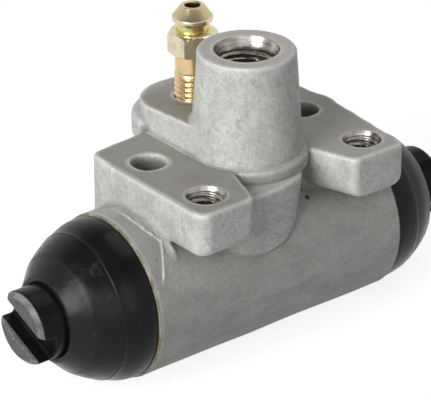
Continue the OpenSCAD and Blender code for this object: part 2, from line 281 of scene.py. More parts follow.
def piston_field(side):
    """Field of a piston: a head in the bore, and a slotted nose with a chamfered tip."""
    base = BARREL_MID + side * BARREL_HALF
    chamfer = NOSE_R + NOSE_REACH - 1.0

    def field(x, y, z):
        out = side * (x - base)
        axis = from_axis(y, z)
        across = (z - BARREL_Z) * math.cos(SLOT_SLANT) - (y - BARREL_Y) * math.sin(SLOT_SLANT)
        head = round_max(axis - HEAD_R, np.abs(out - HEAD_MID) - HEAD_LEN / 2, 0.4)
        nose = round_max(axis - NOSE_R, out - NOSE_REACH, 0.3)
        nose = round_max(nose, (axis + out - chamfer) * math.sqrt(0.5), 0.25)
        slot = round_max(np.abs(across) - SLOT_HALF, SLOT_FLOOR - out, 0.5)
        nose = round_max(nose, -slot, 0.35)
        return np.minimum(head, np.maximum(nose, -out))

    return field


# Meshes from fields and from rings


def slope(field, points):
    """Gradient of a field at points."""
    h = 0.01
    parts = []
    for shift in h * np.eye(3):
        ahead, behind = points + shift, points - shift
        parts.append((field(*ahead.T) - field(*behind.T)) / (2 * h))
    return np.stack(parts, axis=1)


def crossings(value, grid, step, cells):
    """Points where the grid's edges cross value = 0, and the four cells around each of those edges."""
    inside = value < 0
    points, faces = [], []
    for axis in range(3):
        first = tuple(slice(None, -1) if i == axis else slice(None) for i in range(3))
        second = tuple(slice(1, None) if i == axis else slice(None) for i in range(3))
        place = np.argwhere(inside[first] != inside[second])
        at = tuple(place.T)
        start, end = value[first][at], value[second][at]
        point = np.stack([grid[i][place[:, i]] for i in range(3)], axis=1)
        point[:, axis] += step * start / (start - end)
        around = []
        for u, v in ((0, 0), (-1, 0), (-1, -1), (0, -1)):
            cell = place.copy()
            cell[:, (axis + 1) % 3] += u
            cell[:, (axis + 2) % 3] += v
            around.append(np.ravel_multi_index(tuple(cell.T), cells))
        face = np.stack(around, axis=1)
        face[start > 0] = face[start > 0][:, ::-1]
        points.append(point)
        faces.append(face)
    return np.concatenate(points), np.concatenate(faces)


def contoured(field, low, high, step):
    """Points and four-sided faces of field = 0, with its sharp edges kept: dual contouring."""
    grid = [np.arange(a, b + step, step) for a, b in zip(low, high)]
    value = field(*np.meshgrid(*grid, indexing="ij", sparse=True))
    cells = tuple(n - 1 for n in value.shape)
    points, faces = crossings(value, grid, step, cells)

    # The points are drawn onto the surface
    normal = slope(field, points)
    size = np.maximum(np.sum(normal * normal, axis=1), 1e-6)
    shift = normal * (field(*points.T) / size)[:, None]
    points = points - np.clip(shift, -0.3 * step, 0.3 * step)
    normal = slope(field, points)
    normal /= np.maximum(np.linalg.norm(normal, axis=1), 1e-6)[:, None]

    # Each cell's vertex goes where the tangent planes of its points meet, and stays close to the cell
    used, index = np.unique(faces, return_inverse=True)
    index = index.reshape(faces.shape)
    total = len(used)
    count = np.bincount(index.ravel(), minlength=total).astype(float)

    def gathered(weight):
        return np.bincount(index.ravel(), np.repeat(weight, 4), minlength=total)

    middle = np.stack([gathered(points[:, i]) for i in range(3)], axis=1) / count[:, None]
    reach = np.einsum("ij,ij->i", normal, points)
    matrix = np.empty((total, 3, 3))
    target = np.empty((total, 3))
    for i in range(3):
        target[:, i] = gathered(normal[:, i] * reach)
        for j in range(3):
            matrix[:, i, j] = gathered(normal[:, i] * normal[:, j])
    target -= np.einsum("nij,nj->ni", matrix, middle)
    matrix += 0.04 * count[:, None, None] * np.eye(3)
    moved = np.linalg.solve(matrix, target[:, :, None])[:, :, 0]
    corner = np.stack(np.unravel_index(used, cells), axis=1) * step + np.array([g[0] for g in grid])
    vertices = np.clip(middle + moved, corner - 0.1 * step, corner + 1.1 * step)
    return vertices, index


def lofted(rows, closed=False):
    """Points and faces of rings of equal length, joined in order, with the end rings capped or joined."""
    width = len(rows[0])
    points = np.concatenate(rows)
    ring = np.arange(width)
    faces = []
    last = len(rows) if closed else len(rows) - 1
    for i in range(last):
        a = i * width + ring
        b = (i + 1) % len(rows) * width + ring
        faces.append(np.stack([a, np.roll(a, -1), np.roll(b, -1), b], axis=1))
    faces = np.concatenate(faces).tolist()
    if not closed:
        faces.append(ring[::-1].tolist())
        faces.append((ring + (len(rows) - 1) * width).tolist())
    return points, faces


def ring_of(radius, height, columns, start=0.0):
    angle = start + np.arange(columns) * 2 * math.pi / columns
    return np.stack([radius * np.cos(angle), radius * np.sin(angle), np.full(columns, height)], axis=1)


def smooth_curve(knots, count):
    """Catmull-Rom curve through the knots."""
    knots = np.array(knots, float)
    padded = np.vstack([2 * knots[0] - knots[1], knots, 2 * knots[-1] - knots[-2]])
    t = np.linspace(0, len(knots) - 1.000001, count)
    i = t.astype(int)
    f = (t - i)[:, None]
    a, b, c, d = (padded[i + k] for k in range(4))
    return 0.5 * (2 * b + (c - a) * f + (2 * a - 5 * b + 4 * c - d) * f**2 + (3 * b - a - 3 * c + d) * f**3)


def thread_wave(turns):
    """Depth of a vee thread, from 0 at its crest to 1 at its root, with small flats."""
    tooth = np.abs((turns % 1.0) * 2 - 1)
    return np.clip((tooth - 0.1) / 0.8, 0, 1)


def thread_sleeve(place, outer, inner, pitch, bottom, top, columns=72):
    """Lining of a tapped hole: a tube whose inside is a helical thread."""
    angle = np.arange(columns) * 2 * math.pi / columns
    root = outer - 0.06
    rows = [ring_of(outer, bottom, columns), ring_of(outer, top, columns)]
    for z in np.linspace(top, bottom, int((top - bottom) / pitch * 12)):
        depth = thread_wave(z / pitch - angle / (2 * math.pi))
        run_in = min(1.0, max(0.0, (top - z) / pitch * 0.8))
        rows.append(ring_of(root - (root - inner) * (1 - depth) * run_in, z, columns))
    points, faces = lofted(rows, closed=True)
    return points + np.array([place[0], place[1], 0.0]), faces


def piece(name, parts, body=None, sharp=32, join=1e-7):
    """One object from lists of points and faces in millimetres, smooth between its sharp edges."""
    points, faces = [], []
    offset = 0
    for part_points, part_faces in parts:
        points.append(np.asarray(part_points))
        faces.extend([[i + offset for i in face] for face in np.asarray(part_faces, dtype=object).tolist()])
        offset += len(part_points)
    mesh = bpy.data.meshes.new(name)
    mesh.from_pydata((np.concatenate(points) * MM).tolist(), [], faces)
    made = bmesh.new()
    made.from_mesh(mesh)
    bmesh.ops.remove_doubles(made, verts=made.verts, dist=join)
    bmesh.ops.dissolve_degenerate(made, edges=made.edges, dist=1e-7)
    bmesh.ops.recalc_face_normals(made, faces=made.faces)
    limit = math.radians(sharp)
    for face in made.faces:
        face.smooth = True
    for edge in made.edges:
        edge.smooth = edge.calc_face_angle(0.0) < limit
    made.to_mesh(mesh)
    made.free()
    thing = bpy.data.objects.new(name, mesh)
    bpy.context.scene.collection.objects.link(thing)
    if body:
        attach(thing, body)
    return thing


# Materials


class Nodes:
    """Short names for the shader nodes of one material."""

    def __init__(self, name):
        self.material = bpy.data.materials.new(name)
        self.material.use_nodes = True
        self.tree = self.material.node_tree
        self.shader = self.tree.nodes["Principled BSDF"]
        self.place = self.add("ShaderNodeTexCoord").outputs["Object"]
        self.geometry = self.add("ShaderNodeNewGeometry")

    def add(self, kind, **values):
        node = self.tree.nodes.new(kind)
        for key, value in values.items():
            setattr(node, key, value)
        return node

    def link(self, value, socket):
        if isinstance(value, bpy.types.NodeSocket):
            self.tree.links.new(value, socket)
        else:
            socket.default_value = value

    def set(self, **values):
        for key, value in values.items():
            self.link(value, self.shader.inputs[key.replace("_", " ")])

    def noise(self, size_mm, detail=3.0, rough=0.55, stretch=(1, 1, 1)):
        """Noise whose features are about size_mm across."""
        place = self.add("ShaderNodeMapping")
        self.link(self.place, place.inputs["Vector"])
        place.inputs["Scale"].default_value = [1 / (size_mm * MM) * s for s in stretch]
        node = self.add("ShaderNodeTexNoise")
        self.link(place.outputs[0], node.inputs["Vector"])
        node.inputs["Scale"].default_value = 1.0
        node.inputs["Detail"].default_value = detail
        node.inputs["Roughness"].default_value = rough
        return node.outputs["Fac"]

    def cells(self, size_mm):
        node = self.add("ShaderNodeTexVoronoi")
        self.link(self.place, node.inputs["Vector"])
        node.inputs["Scale"].default_value = 1 / (size_mm * MM)
        return node.outputs["Distance"]

    def ramp(self, value, low, high, start=0.0, end=1.0):
        """value from low to high becomes start to end."""
        node = self.add("ShaderNodeMapRange")
        self.link(value, node.inputs["Value"])
        node.inputs["From Min"].default_value = low
        node.inputs["From Max"].default_value = high
        node.inputs["To Min"].default_value = start
        node.inputs["To Max"].default_value = end
        return node.outputs["Result"]

    def ramp_mm(self, value, low_mm, high_mm, start=0.0, end=1.0):
        """As ramp, for a length or a place."""
        return self.ramp(value, low_mm * MM, high_mm * MM, start, end)

    def math(self, operation, a, b=0.0):
        node = self.add("ShaderNodeMath", operation=operation)
        self.link(a, node.inputs[0])
        self.link(b, node.inputs[1])
        return node.outputs[0]

    def times(self, product, *factors):
        for factor in factors:
            product = self.math("MULTIPLY", product, factor)
        return product

    def mix(self, factor, a, b):
        node = self.add("ShaderNodeMix", data_type="RGBA")
        self.link(factor, node.inputs["Factor"])
        for value, socket in ((a, node.inputs[6]), (b, node.inputs[7])):
            self.link(value if isinstance(value, bpy.types.NodeSocket) else (*value, 1.0), socket)
        return node.outputs[2]

    def part(self, vector, axis):
        node = self.add("ShaderNodeSeparateXYZ")
        self.link(vector, node.inputs[0])
        return node.outputs[axis]

    def axes(self):
        """x, y and z of the place, in metres."""
        return tuple(self.part(self.place, axis) for axis in range(3))

    def apart(self, first, first_mm, second, second_mm):
        """Distance from an axis, given by two of its coordinates."""
        a = self.math("SUBTRACT", first, first_mm * MM)
        b = self.math("SUBTRACT", second, second_mm * MM)
        return self.math("SQRT", self.math("ADD", self.times(a, a), self.times(b, b)))

    def beyond_end(self, low_mm, high_mm, start=0.0, end=1.0):
        """A ramp along the barrel's axis, between two distances beyond its end faces."""
        reach = self.math("ABSOLUTE", self.math("SUBTRACT", self.part(self.place, 0), BARREL_MID * MM))
        return self.ramp_mm(reach, BARREL_HALF + low_mm, BARREL_HALF + high_mm, start, end)

    def spot(self, place, size_mm):
        """1 at a place given in mm, and 0 from size_mm away from it."""
        away = self.add("ShaderNodeVectorMath", operation="DISTANCE")
        self.link(self.place, away.inputs[0])
        away.inputs[1].default_value = [v * MM for v in place]
        return self.ramp_mm(away.outputs["Value"], size_mm, size_mm * 0.5)

    def hollow(self, reach_mm):
        """More than 0 where other surfaces stand close around: a mask for painted shade."""
        node = self.add("ShaderNodeAmbientOcclusion", samples=8)
        node.inputs["Distance"].default_value = reach_mm * MM
        return self.ramp(node.outputs["AO"], 0.9, 0.3, 0.0, 0.6)

    def edges(self, low, high, start=0.0, end=1.0):
        """A ramp over how far the surface stands out: over 0.5 on edges, and under 0.5 in corners."""
        return self.ramp(self.geometry.outputs["Pointiness"], low, high, start, end)

    def bump(self, height, depth_mm, strength):
        node = self.add("ShaderNodeBump")
        self.link(height, node.inputs["Height"])
        node.inputs["Distance"].default_value = depth_mm * MM
        node.inputs["Strength"].default_value = strength
        return node.outputs[0]


def cut_faces(n):
    """1 on the faces that are milled flat: tops of the lugs, of the inlet and round the bleeder."""
    x, y, z = n.axes()
    level = n.ramp(n.part(n.geometry.outputs["Normal"], 2), 0.86, 0.96)
    along = n.ramp_mm(y, INLET_Y, BLEEDER_Y, INLET_Y * MM, BLEEDER_Y * MM)
    away = n.apart(x, 0.0, n.math("SUBTRACT", y, along), 0.0)
    lugs = n.times(n.ramp_mm(n.math("ABSOLUTE", z), 0.2, 0.08), n.ramp_mm(away, 10.3, 10.6))
    inlet = n.ramp_mm(z, INLET_TOP - 0.3, INLET_TOP - 0.1)
    bleeder = n.times(n.ramp_mm(z, 4.0, 4.3), n.ramp_mm(z, 6.6, 6.3))
    flat = n.math("MAXIMUM", n.math("MAXIMUM", lugs, inlet), bleeder)
    return n.times(flat, level)


def parting_seam(n):
    """1 on the thin flash of the parting line beside the left lug, and 1 on the strip outside that line."""
    x, y, z = n.axes()
    turn = n.math("ARCTAN2", n.math("SUBTRACT", z, BARREL_Z * MM), n.math("SUBTRACT", BARREL_Y * MM, y))
    turn = n.math("DEGREES", turn)
    seam = SEAM_XS[0]
    for i in range(len(SEAM_XS) - 1):
        step = n.ramp(turn, SEAM_TURNS[i], SEAM_TURNS[i + 1], 0.0, SEAM_XS[i + 1] - SEAM_XS[i])
        seam = n.math("ADD", step, seam)
    past = n.math("SUBTRACT", n.math("DIVIDE", x, MM), seam)
    shown = n.times(n.ramp(turn, 26.0, 34.0), n.ramp(turn, 100.0, 86.0))
    flash = n.times(n.ramp(n.math("ABSOLUTE", past), 0.4, 0.08), shown)
    beside = n.times(n.ramp(past, 0.1, -0.2), shown)
    return flash, beside


def cast_skin(n, grain, mottle, patches, stains):
    """Grey of a cast surface: broad patches, soft clouds, speckle and stains."""
    clouds = n.noise(1.7, 3.0, 0.6)
    tone = n.mix(n.ramp(patches, 0.35, 0.65), (0.57, 0.57, 0.55), (0.73, 0.73, 0.71))
    tone = n.mix(n.ramp(clouds, 0.5, 0.7, 0.0, 0.16), tone, (0.36, 0.36, 0.34))
    tone = n.mix(n.ramp(clouds, 0.47, 0.3, 0.0, 0.2), tone, (0.90, 0.90, 0.88))
    tone = n.mix(n.ramp(mottle, 0.45, 0.7, 0.0, 0.5), tone, (0.40, 0.40, 0.38))
    tone = n.mix(n.ramp(grain, 0.52, 0.7, 0.0, 0.6), tone, (0.32, 0.32, 0.305))
    tone = n.mix(n.ramp(grain, 0.44, 0.3, 0.0, 0.6), tone, (0.86, 0.86, 0.84))
    return n.mix(n.ramp(stains, 0.56, 0.74, 0.0, 0.5), tone, (0.28, 0.275, 0.25))


def barrel_shade_and_marks(n, tone):
    """The barrel's painted shade, darker towards its bottom while the neck and lugs stay lighter, with
    streaks along it and three dark specks.
    """
    _, y, z = n.axes()
    # Painted shade: the barrel's surface darkens towards its bottom, and the neck and lugs are left out of
    # it
    on_barrel = n.ramp_mm(n.apart(y, BARREL_Y, z, BARREL_Z), 15.7, 15.1)
    tone = n.mix(n.times(on_barrel, n.ramp_mm(z, -4.0, -16.0, 0.1, 0.6)), tone, (0.31, 0.31, 0.295))
    low = n.ramp_mm(z, -8.0, -12.0)
    streaks = n.noise(2.4, 5.0, 0.65, (0.4, 1, 1))
    tone = n.mix(n.times(low, n.ramp(streaks, 0.5, 0.66, 0.0, 0.4)), tone, (0.60, 0.60, 0.58))
    tone = n.mix(n.times(low, n.ramp(streaks, 0.46, 0.34, 0.0, 0.25)), tone, (0.22, 0.22, 0.21))
    for place, size in (((6.3, 3.2, -7.8), 0.4), ((6.6, 1.9, -8.8), 0.6), ((-27.3, 1.05, -9.6), 0.25)):
        tone = n.mix(n.spot(place, size), tone, (0.03, 0.03, 0.03))
    return tone


def milled(n, grain, patches):
    """Tone of the milled faces, with painted light on the right lug's top where the inlet boss shades it,
    and lightest on the inlet's top.
    """
    x, _, z = n.axes()
    tone = n.mix(n.ramp(patches, 0.3, 0.7), (0.35, 0.342, 0.305), (0.43, 0.422, 0.385))
    tone = n.mix(n.ramp(grain, 0.4, 0.7, 0.0, 0.5), tone, (0.24, 0.232, 0.205))
    # Painted light: the right lug's top is lightened against the inlet boss's shadow
    tone = n.mix(n.ramp_mm(x, 4.0, 12.0, 0.0, 0.3), tone, (0.66, 0.65, 0.61))
    return n.mix(n.ramp_mm(z, 6.0, 12.0, 0.0, 0.85), tone, (0.62, 0.61, 0.575))


def shade_wear_and_grease(n, tone, stains):
    """Painted shade on the ring below the inlet, in corners and below the lugs; edges lightened by wear and
    a painted highlight; grease by the boots.
    """
    x, y, z = n.axes()
    # Painted shade on the ring's side below the inlet
    from_inlet = n.apart(x, 0.0, y, INLET_Y)
    ring = n.times(n.ramp_mm(from_inlet, 9.9, 10.3), n.ramp_mm(from_inlet, 11.3, 11.0))
    ring = n.times(ring, n.ramp_mm(z, 0.3, -0.2), n.ramp_mm(z, -3.6, -3.0))
    tone = n.mix(n.times(ring, 0.55), tone, (0.28, 0.275, 0.255))
    # Painted shade in corners, and where surfaces close round below the lugs
    below = n.times(n.hollow(9.0), n.ramp_mm(z, -1.5, -4.0))
    tone = n.mix(n.math("MAXIMUM", n.edges(0.49, 0.43, 0.0, 0.55), below), tone, (0.17, 0.165, 0.15))
    # Edges lightened: wear, and a painted highlight
    tone = n.mix(n.times(n.edges(0.51, 0.57), 0.8), tone, (0.90, 0.90, 0.88))
    smear = n.times(n.beyond_end(-0.55, -0.2, 0.0, 0.9), n.ramp_mm(z, -4.4, -5.4))
    return n.mix(n.times(smear, n.ramp(stains, 0.35, 0.55, 0.45, 1.0)), tone, (0.20, 0.175, 0.085))


def cast_aluminium():
    n = Nodes("cast_aluminium")
    x, y, z = n.axes()
    grain = n.noise(0.32, 4.0, 0.65)
    mottle = n.noise(0.8, 4.0, 0.7)
    patches = n.noise(6.0, 3.0, 0.6)
    stains = n.noise(2.6, 5.0, 0.7)
    pits = n.ramp(n.cells(2.6), 0.045, 0.025, 0.0, 0.6)
    tone = cast_skin(n, grain, mottle, patches, stains)
    tone = n.mix(pits, tone, (0.12, 0.12, 0.11))
    tone = barrel_shade_and_marks(n, tone)

    flash, beside = parting_seam(n)
    tone = n.mix(n.times(beside, 0.65), tone, (0.33, 0.325, 0.30))
    # Painted highlight: the flash on the parting line is painted pale where its ridge catches the light
    tone = n.mix(n.times(flash, n.ramp(mottle, 0.35, 0.6, 0.25, 0.8)), tone, (0.88, 0.88, 0.86))
    # Painted shade inside the two pockets in the mounting face
    away = n.apart(n.math("ABSOLUTE", x), POCKET_X, y, POCKET_Y)
    pocket = n.times(n.ramp_mm(away, POCKET_R + 0.3, POCKET_R + 0.1), n.ramp_mm(z, -0.3, -1.6, 0.0, 0.75))
    tone = n.mix(pocket, tone, (0.13, 0.12, 0.10))
    flat = cut_faces(n)
    tone = n.mix(flat, tone, milled(n, grain, patches))
    tone = shade_wear_and_grease(n, tone, stains)
    rough = n.ramp(grain, 0.3, 0.7, 0.42, 0.6)
    n.set(Base_Color=tone, Metallic=0.08, Roughness=rough, Specular_IOR_Level=0.25)

    # The grain is nearly gone on milled faces, and the flash stands out a little
    height = n.math("SUBTRACT", n.math("ADD", n.times(grain, 0.6), mottle), pits)
    height = n.times(height, n.math("SUBTRACT", 1.0, n.times(flat, 0.8)))
    height = n.math("ADD", height, n.times(flash, 1.2))
    n.set(Normal=n.bump(height, 0.16, 0.8))
    return n.material


def bright_aluminium():
    n = Nodes("bright_aluminium")
    lines = n.noise(0.25, 2.0, 0.5, (0.1, 0.1, 1))
    tone = n.mix(n.ramp(lines, 0.35, 0.65), (0.24, 0.225, 0.20), (0.42, 0.405, 0.375))
    n.set(Base_Color=tone, Metallic=1.0, Roughness=n.ramp(lines, 0.3, 0.7, 0.2, 0.34))
    n.set(Normal=n.bump(lines, 0.02, 0.4))
    return n.material


def yellow_zinc():
    """Plating whose tint changes from shank to hexagon, neck, rim and tip, with painted reflection in the
    darker tip and in brown and olive patches, and edges lightened by wear and a painted highlight.
    """
    n = Nodes("yellow_zinc_steel")
    height = n.part(n.place, 2)
    veil = n.noise(1.8, 3.0, 0.55, (1, 1, 0.5))
    tint = n.noise(3.2, 2.0, 0.5)
    tone = n.mix(n.ramp(tint, 0.35, 0.65), (0.66, 0.58, 0.38), (0.74, 0.70, 0.50))
    tone = n.mix(n.ramp_mm(height, 13.1, 12.7), tone, (0.74, 0.52, 0.29))
    tone = n.mix(n.ramp_mm(height, 17.0, 17.3), tone, (0.66, 0.57, 0.22))
    tone = n.mix(n.ramp_mm(height, 18.7, 19.0), tone, (0.72, 0.56, 0.42))
    # The darker tip is plating tint and painted reflection
    tone = n.mix(n.ramp_mm(height, 19.9, 20.1), tone, (0.56, 0.47, 0.28))
    # Painted reflection: brown and olive patches stand in for dark surroundings mirrored in the plating
    tone = n.mix(n.ramp(veil, 0.54, 0.7, 0.0, 0.5), tone, (0.50, 0.33, 0.27))
    tone = n.mix(n.ramp(veil, 0.45, 0.33, 0.0, 0.5), tone, (0.42, 0.46, 0.20))
    # Edges lightened: worn plating, and a painted highlight
    tone = n.mix(n.times(n.edges(0.52, 0.6), 0.5), tone, (0.88, 0.84, 0.70))
    n.set(Base_Color=tone, Metallic=1.0, Roughness=n.ramp(veil, 0.3, 0.7, 0.14, 0.28))
    n.set(Normal=n.bump(n.noise(0.5, 3.0), 0.015, 0.3))
    return n.material


def rubber(name, tone, rough):
    """Moulded rubber, with dust and painted sheen and scuffs towards the boot's lip, a painted highlight on
    the lip, and a few pale specks.
    """
    n = Nodes(name)
    skin = n.noise(0.5, 3.0, 0.55)
    haze = n.noise(4.0, 4.0, 0.6)
    scuffs = n.noise(1.4, 5.0, 0.7)
    specks = n.times(n.ramp(n.cells(1.7), 0.06, 0.035), n.ramp(n.noise(6.0, 2.0), 0.45, 0.58))
    outer = n.beyond_end(5.4, 7.4)
    lip = n.beyond_end(10.2, 10.6)
    dust_and_sheen = n.times(outer, n.ramp(haze, 0.35, 0.65, 0.35, 1.0))
    worn = n.times(outer, n.ramp(scuffs, 0.53, 0.62), n.ramp(haze, 0.52, 0.6))
    # Dust and painted sheen lighten the outer dome, and a painted highlight lightens the lip
    colour = n.mix(dust_and_sheen, tone, tuple(c * 1.5 + 0.001 for c in tone))
    colour = n.mix(n.times(lip, 0.6), colour, tuple(c * 2.4 + 0.004 for c in tone))
    colour = n.mix(n.times(worn, 0.5), colour, (0.055, 0.055, 0.054))
    colour = n.mix(n.times(specks, 0.6), colour, (0.25, 0.245, 0.22))
    dull = n.math("ADD", haze, n.times(worn, 0.4))
    n.set(Base_Color=colour, Specular_IOR_Level=0.17)
    n.set(Roughness=n.ramp(dull, 0.3, 0.9, rough - 0.06, rough + 0.2))
    height = n.math("ADD", n.math("ADD", skin, specks), n.times(worn, 0.6))
    n.set(Normal=n.bump(height, 0.025, 0.45))
    return n.material


def black_piston():
    """Black coating, worn to grey on the nose's tip, and lightened on its chamfer by wear and a painted
    highlight.
    """
    n = Nodes("black_piston")
    haze = n.noise(2.5, 3.0, 0.6)
    scuffs = n.noise(0.5, 4.0, 0.65, (1, 0.25, 1))
    worn = n.times(n.edges(0.53, 0.62), n.ramp(scuffs, 0.35, 0.6))
    chamfer = n.beyond_end(17.75, 17.9)
    tip = n.beyond_end(18.55, 18.65)
    tone = n.mix(n.ramp(haze, 0.35, 0.7), (0.007, 0.007, 0.0075), (0.013, 0.013, 0.014))
    # The chamfer is lightened by wear and a painted highlight where it catches the light
    tone = n.mix(n.times(chamfer, n.ramp(haze, 0.35, 0.6, 0.35, 0.8)), tone, (0.34, 0.34, 0.35))
    tone = n.mix(tip, tone, n.mix(n.ramp(scuffs, 0.3, 0.6), (0.09, 0.085, 0.082), (0.135, 0.125, 0.12)))
    tone = n.mix(n.times(worn, tip), tone, (0.42, 0.41, 0.40))
    n.set(Base_Color=tone, Roughness=n.ramp(haze, 0.3, 0.7, 0.2, 0.3), Specular_IOR_Level=0.09)
    n.set(Normal=n.bump(n.noise(0.4, 3.0), 0.015, 0.4))
    return n.material


def steel(name, tone, rough):
    n = Nodes(name)
    haze = n.noise(1.5, 3.0, 0.6)
    lines = n.noise(0.3, 2.0, 0.5, (0.15, 1, 1))
    colour = n.mix(n.ramp(haze, 0.3, 0.7), tone, tuple(c * 0.75 for c in tone))
    n.set(Base_Color=colour, Metallic=1.0, Roughness=n.ramp(lines, 0.3, 0.7, rough - 0.06, rough + 0.1))
    n.set(Normal=n.bump(lines, 0.02, 0.35))
    return n.material


CAST = cast_aluminium()
BRIGHT = bright_aluminium()
ZINC = yellow_zinc()
BOOT_RUBBER = rubber("boot_rubber", (0.005, 0.005, 0.005), 0.24)
SEAL_RUBBER = rubber("seal_rubber", (0.012, 0.012, 0.012), 0.5)
PISTON = black_piston()
PRESSED_STEEL = steel("pressed_steel", (0.56, 0.56, 0.55), 0.34)
SPRING_STEEL = steel("spring_steel", (0.42, 0.42, 0.43), 0.36)


# Pieces


def make_body():
    """The casting, with threads in its inlet and its two mounting holes."""
    low, high = (-36.0, -7.2, -35.8), (32.0, 38.0, 19.5)
    parts = [contoured(body_field, low, high, 0.52)]
    parts.append(thread_sleeve((0.0, INLET_Y), 5.2, 4.46, 1.0, 5.4, 16.5))
    for side in (LEFT, RIGHT):
        parts.append(thread_sleeve((side * BOLT_X, 0.0), 3.15, 2.5, 1.0, -8.5, -0.75))
    body = piece("cast_body", parts, "cylinder", join=2e-5)
    for material in (CAST, BRIGHT):
        body.data.materials.append(material)

    # Bore and threads are bright, and all the rest is cast
    mesh = body.data
    count = len(mesh.polygons)
    centre = np.empty(count * 3)
    mesh.polygons.foreach_get("center", centre)
    x, y, z = centre.reshape(-1, 3).T / MM
    finish = np.zeros(count, dtype=np.int32)
    finish[from_axis(y, z) < BORE_R + 0.05] = 1
    finish[(np.hypot(x, y - INLET_Y) < PORT_MOUTH_R + 0.03) & (z > 5.3) & (z < INLET_TOP - 0.02)] = 1
    for side in (LEFT, RIGHT):
        finish[(np.hypot(x - side * BOLT_X, y) < BOLT_R + 0.45) & (z < -0.02) & (z > BOLT_FLOOR - 0.2)] = 1
    mesh.polygons.foreach_set("material_index", finish)
    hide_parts("cylinder_body")


def make_bleeder():
    """Screw with a conical seat, a thread, a hexagon and a hose nipple, turned round its bored axis."""
    columns = 96
    hex_half = 4.0
    hex_bottom, hex_top = 13.0, 17.1
    chamfer = 1.73
    thread_r, thread_depth, thread_top, pitch = 3.42, 0.42, 9.6, 1.0
    hex_start = math.radians(33)
    angle = hex_start + np.arange(columns) * 2 * math.pi / columns
    from_flat = (angle - hex_start) % (math.pi / 3) - math.pi / 6
    hexagon = hex_half / np.cos(from_flat)
    rows = []

    def turn(*steps):
        for radius, height in steps:
            rows.append(ring_of(np.broadcast_to(radius, (columns,)), height, columns, hex_start))

    turn((1.4, 20.6), (1.4, 17.0), (1.2, 16.0), (1.2, -5.4))
    turn((1.35, -5.5), (3.0, -3.6), (3.0, -3.2))
    for z in np.linspace(-3.0, thread_top, 190):
        depth = thread_wave(z / pitch - angle / (2 * math.pi))
        run_out = min(1.0, (thread_top - z) / 0.8)
        turn((thread_r - thread_depth * depth * run_out - 0.18 * (1 - run_out), z))
    turn((3.2, 9.9), (3.2, 12.95))
    for z in (13.0, 13.15, 13.35, 13.6, 13.9):
        turn((np.minimum(hexagon, 3.95 + (z - hex_bottom) * chamfer), z))
    for z in (16.4, 16.7, 16.9, 17.05, 17.1):
        turn((np.minimum(hexagon, 3.9 + (hex_top - z) * chamfer), z))
    turn((3.2, 17.1), (2.97, 17.2), (2.95, 18.5), (3.0, 18.7), (3.5, 19.02), (3.62, 19.12))
    turn((3.66, 19.25), (3.66, 19.8), (3.6, 19.92), (3.5, 20.02), (2.3, 21.62), (2.16, 21.82))
    turn((2.0, 21.88), (1.6, 21.88), (1.44, 21.8), (1.4, 21.6))
    points, faces = lofted(rows, closed=True)
    points = points + np.array([0.0, BLEEDER_Y, 0.0])
    screw = piece("bleed_screw", [(points, faces)], "bleeder", 25)
    screw.data.materials.append(ZINC)
    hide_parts("bleeder_screw")


def boot_profile(bulge):
    """Closed section of a boot as radius and distance beyond the barrel's end, from the base outward."""
    outside = smooth_curve([
        (14.55, 0.5), (14.55, 1.5), (14.36, 2.8), (13.97, 4.0), (13.55, 5.0), (13.2, 6.0), (12.75, 7.0),
        (12.2, 8.0), (11.6, 9.0), (10.9, 10.0), (10.0, 11.0), (9.0, 12.0), (8.05, 12.9),
    ], 190)
    outside[:, 1] += bulge * fade(outside[:, 1], 1.5, 3.5) * fade(outside[:, 1], 13.2, 9.2)
    out = outside[:, 1]
    outside[:, 0] += 0.10 * np.exp(-(((out - 6.0) / 0.13) ** 2))
    outside[:, 0] -= 0.09 * fade(out, 10.25, 10.55)
    inside = smooth_curve([
        (6.75, 11.5), (7.6, 10.9), (8.6, 9.9), (9.9, 8.6),
        (10.9, 7.2), (11.6, 5.9), (12.2, 4.8), (12.56, 3.6),
    ], 40)
    base = [(14.35, 0.04), (14.5, 0.15)]
    lip = [(7.75, 13.2), (7.3, 13.32), (6.8, 13.25), (6.63, 13.05), (6.62, 11.7)]
    bead = [(12.56, 2.75), (11.78, 2.65), (11.78, 0.1), (12.0, 0.04)]
    return np.vstack([base, outside, lip, inside, bead])


def make_boot(side, name, node, bulge=0.0):
    """A boot that spans from the barrel's end to the piston."""
    rows = [ring_of(r, h, 128) for r, h in boot_profile(bulge)]
    points, faces = lofted(rows, closed=True)
    base = BARREL_MID + side * BARREL_HALF
    x = base + side * points[:, 2]
    points = np.stack([x, BARREL_Y + points[:, 0], BARREL_Z + points[:, 1]], axis=1)
    boot = piece(name, [(points, faces)], None, 50)
    boot.data.materials.append(BOOT_RUBBER)
    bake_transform(boot)
    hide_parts(node)


def make_piston(side, name, node, plunger):
    base = BARREL_MID + side * BARREL_HALF
    ends = sorted((base - side * 10.0, base + side * 19.5))
    around = 10.3
    low = (ends[0], BARREL_Y - around, BARREL_Z - around)
    high = (ends[1], BARREL_Y + around, BARREL_Z + around)
    part = piece(name, [contoured(piston_field(side), low, high, 0.27)], plunger)
    part.data.materials.append(PISTON)
    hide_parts(node)


